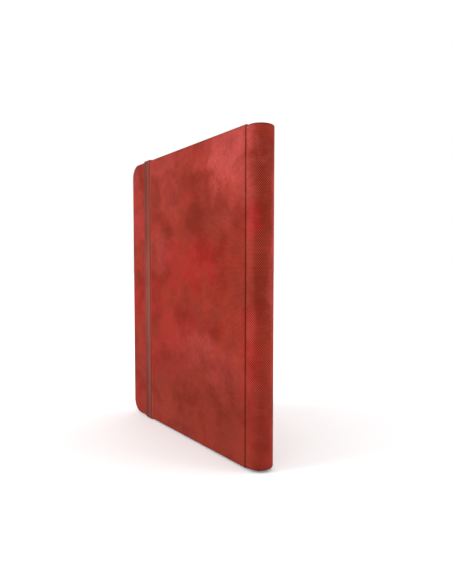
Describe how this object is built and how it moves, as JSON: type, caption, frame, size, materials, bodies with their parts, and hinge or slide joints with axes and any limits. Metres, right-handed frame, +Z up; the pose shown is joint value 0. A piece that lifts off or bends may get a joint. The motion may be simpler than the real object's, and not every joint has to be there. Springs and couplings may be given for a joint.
{
  "type": "trading card binder",
  "caption": "Closed leatherette card album with a rounded spine, side-loading pocket pages and an elastic strap round its covers.",
  "frame": {"origin": "bottom centre of the closed binder as it stands on its lower edge, under the middle of its width and thickness", "axes": "+X from the opening edge to the rounded spine, +Y from the front cover to the back cover, +Z up along the spine"},
  "size_m": [0.2606, 0.0296, 0.3326],
  "materials": {
    "red_leatherette": "mottled red imitation leather with a fine diagonal hatch embossing, semi-matte, roughness about 0.55",
    "dark_red_crease": "same imitation leather pressed thin in the hinge groove, darker, roughness about 0.6",
    "grey_board": "grey binder board, hidden inside the covers",
    "black_lining": "thin black lining sheet, matte",
    "black_plastic": "black binding strip, matte",
    "black_page_sheet": "black polypropylene backing sheet, fine matte texture",
    "clear_pocket_film": "clear soft plastic film, glossy",
    "brown_red_elastic": "flat woven elastic, brown red, matte"
  },
  "bodies": {
    "back_cover": {"back_cover_skin": "red_leatherette", "back_cover_board": "grey_board", "back_cover_lining": "black_lining", "back_hinge_crease": "dark_red_crease", "strap_top_bridge": "brown_red_elastic", "strap_bottom_bridge": "brown_red_elastic", "strap_top_tail": "brown_red_elastic", "strap_bottom_tail": "brown_red_elastic"},
    "spine": {"spine_skin": "red_leatherette", "spine_former": "grey_board", "spine_lining": "black_lining", "binding_bar": "black_plastic", "binding_web": "black_plastic"},
    "front_cover": {"front_cover_skin": "red_leatherette", "front_cover_board": "grey_board", "front_cover_lining": "black_lining", "front_hinge_crease": "dark_red_crease"},
    "strap": {"strap_front": "brown_red_elastic"},
    "page_01": {"page_01_sheet": "black_page_sheet", "page_01_pockets_front": "clear_pocket_film", "page_01_pockets_back": "clear_pocket_film"},
    "page_02": {"page_02_sheet": "black_page_sheet", "page_02_pockets_front": "clear_pocket_film", "page_02_pockets_back": "clear_pocket_film"},
    "page_03": {"page_03_sheet": "black_page_sheet", "page_03_pockets_front": "clear_pocket_film", "page_03_pockets_back": "clear_pocket_film"},
    "page_04": {"page_04_sheet": "black_page_sheet", "page_04_pockets_front": "clear_pocket_film", "page_04_pockets_back": "clear_pocket_film"},
    "page_05": {"page_05_sheet": "black_page_sheet", "page_05_pockets_front": "clear_pocket_film", "page_05_pockets_back": "clear_pocket_film"},
    "page_06": {"page_06_sheet": "black_page_sheet", "page_06_pockets_front": "clear_pocket_film", "page_06_pockets_back": "clear_pocket_film"},
    "page_07": {"page_07_sheet": "black_page_sheet", "page_07_pockets_front": "clear_pocket_film", "page_07_pockets_back": "clear_pocket_film"},
    "page_08": {"page_08_sheet": "black_page_sheet", "page_08_pockets_front": "clear_pocket_film", "page_08_pockets_back": "clear_pocket_film"},
    "page_09": {"page_09_sheet": "black_page_sheet", "page_09_pockets_front": "clear_pocket_film", "page_09_pockets_back": "clear_pocket_film"},
    "page_10": {"page_10_sheet": "black_page_sheet", "page_10_pockets_front": "clear_pocket_film", "page_10_pockets_back": "clear_pocket_film"},
    "page_11": {"page_11_sheet": "black_page_sheet", "page_11_pockets_front": "clear_pocket_film", "page_11_pockets_back": "clear_pocket_film"},
    "page_12": {"page_12_sheet": "black_page_sheet", "page_12_pockets_front": "clear_pocket_film", "page_12_pockets_back": "clear_pocket_film"}
  },
  "joints": [
    {"name": "binder_opening", "type": "hinge", "parent": "back_cover", "child": "spine", "pos_m": [0.1125, 0.01345, 0.1663], "axis": [0, 0, 1], "range_deg": [0, 90], "deforming": ["back_hinge_crease", "strap_top_bridge", "strap_bottom_bridge"]},
    {"name": "front_cover_hinge", "type": "hinge", "parent": "spine", "child": "front_cover", "pos_m": [0.1125, -0.01345, 0.1663], "axis": [0, 0, 1], "range_deg": [0, 90], "deforming": ["front_hinge_crease"]},
    {"name": "strap_swing", "type": "hinge", "parent": "back_cover", "child": "strap", "pos_m": [-0.1303, 0, 0.1663], "axis": [0, 0, 1], "range_deg": [-322.95, 0], "deforming": ["strap_front"]},
    {"name": "page_01_turn", "type": "hinge", "parent": "spine", "child": "page_01", "pos_m": [0.107, -0.00907, 0.1663], "axis": [0, 0, 1], "range_deg": [0, 80.01]},
    {"name": "page_02_turn", "type": "hinge", "parent": "spine", "child": "page_02", "pos_m": [0.107, -0.00743, 0.1663], "axis": [0, 0, 1], "range_deg": [0, 74.01]},
    {"name": "page_03_turn", "type": "hinge", "parent": "spine", "child": "page_03", "pos_m": [0.107, -0.00577, 0.1663], "axis": [0, 0, 1], "range_deg": [0, 68.01]},
    {"name": "page_04_turn", "type": "hinge", "parent": "spine", "child": "page_04", "pos_m": [0.107, -0.00413, 0.1663], "axis": [0, 0, 1], "range_deg": [0, 62.01]},
    {"name": "page_05_turn", "type": "hinge", "parent": "spine", "child": "page_05", "pos_m": [0.107, -0.00248, 0.1663], "axis": [0, 0, 1], "range_deg": [0, 56.01]},
    {"name": "page_06_turn", "type": "hinge", "parent": "spine", "child": "page_06", "pos_m": [0.107, -0.00082, 0.1663], "axis": [0, 0, 1], "range_deg": [0, 50.01]},
    {"name": "page_07_turn", "type": "hinge", "parent": "spine", "child": "page_07", "pos_m": [0.107, 0.00082, 0.1663], "axis": [0, 0, 1], "range_deg": [-50.01, 0]},
    {"name": "page_08_turn", "type": "hinge", "parent": "spine", "child": "page_08", "pos_m": [0.107, 0.00248, 0.1663], "axis": [0, 0, 1], "range_deg": [-56.01, 0]},
    {"name": "page_09_turn", "type": "hinge", "parent": "spine", "child": "page_09", "pos_m": [0.107, 0.00413, 0.1663], "axis": [0, 0, 1], "range_deg": [-62.01, 0]},
    {"name": "page_10_turn", "type": "hinge", "parent": "spine", "child": "page_10", "pos_m": [0.107, 0.00577, 0.1663], "axis": [0, 0, 1], "range_deg": [-68.01, 0]},
    {"name": "page_11_turn", "type": "hinge", "parent": "spine", "child": "page_11", "pos_m": [0.107, 0.00743, 0.1663], "axis": [0, 0, 1], "range_deg": [-74.01, 0]},
    {"name": "page_12_turn", "type": "hinge", "parent": "spine", "child": "page_12", "pos_m": [0.107, 0.00907, 0.1663], "axis": [0, 0, 1], "range_deg": [-80.01, 0]}
  ],
  "couplings": [
    {"joint": "front_cover_hinge", "follows": "binder_opening", "ratio": 1},
    {"joint": "strap_swing", "follows": "binder_opening", "ratio": -3.5881},
    {"joint": "page_01_turn", "follows": "binder_opening", "ratio": 0.88889},
    {"joint": "page_02_turn", "follows": "binder_opening", "ratio": 0.82222},
    {"joint": "page_03_turn", "follows": "binder_opening", "ratio": 0.75556},
    {"joint": "page_04_turn", "follows": "binder_opening", "ratio": 0.68889},
    {"joint": "page_05_turn", "follows": "binder_opening", "ratio": 0.62222},
    {"joint": "page_06_turn", "follows": "binder_opening", "ratio": 0.55556},
    {"joint": "page_07_turn", "follows": "binder_opening", "ratio": -0.55556},
    {"joint": "page_08_turn", "follows": "binder_opening", "ratio": -0.62222},
    {"joint": "page_09_turn", "follows": "binder_opening", "ratio": -0.68889},
    {"joint": "page_10_turn", "follows": "binder_opening", "ratio": -0.75556},
    {"joint": "page_11_turn", "follows": "binder_opening", "ratio": -0.82222},
    {"joint": "page_12_turn", "follows": "binder_opening", "ratio": -0.88889}
  ]
}
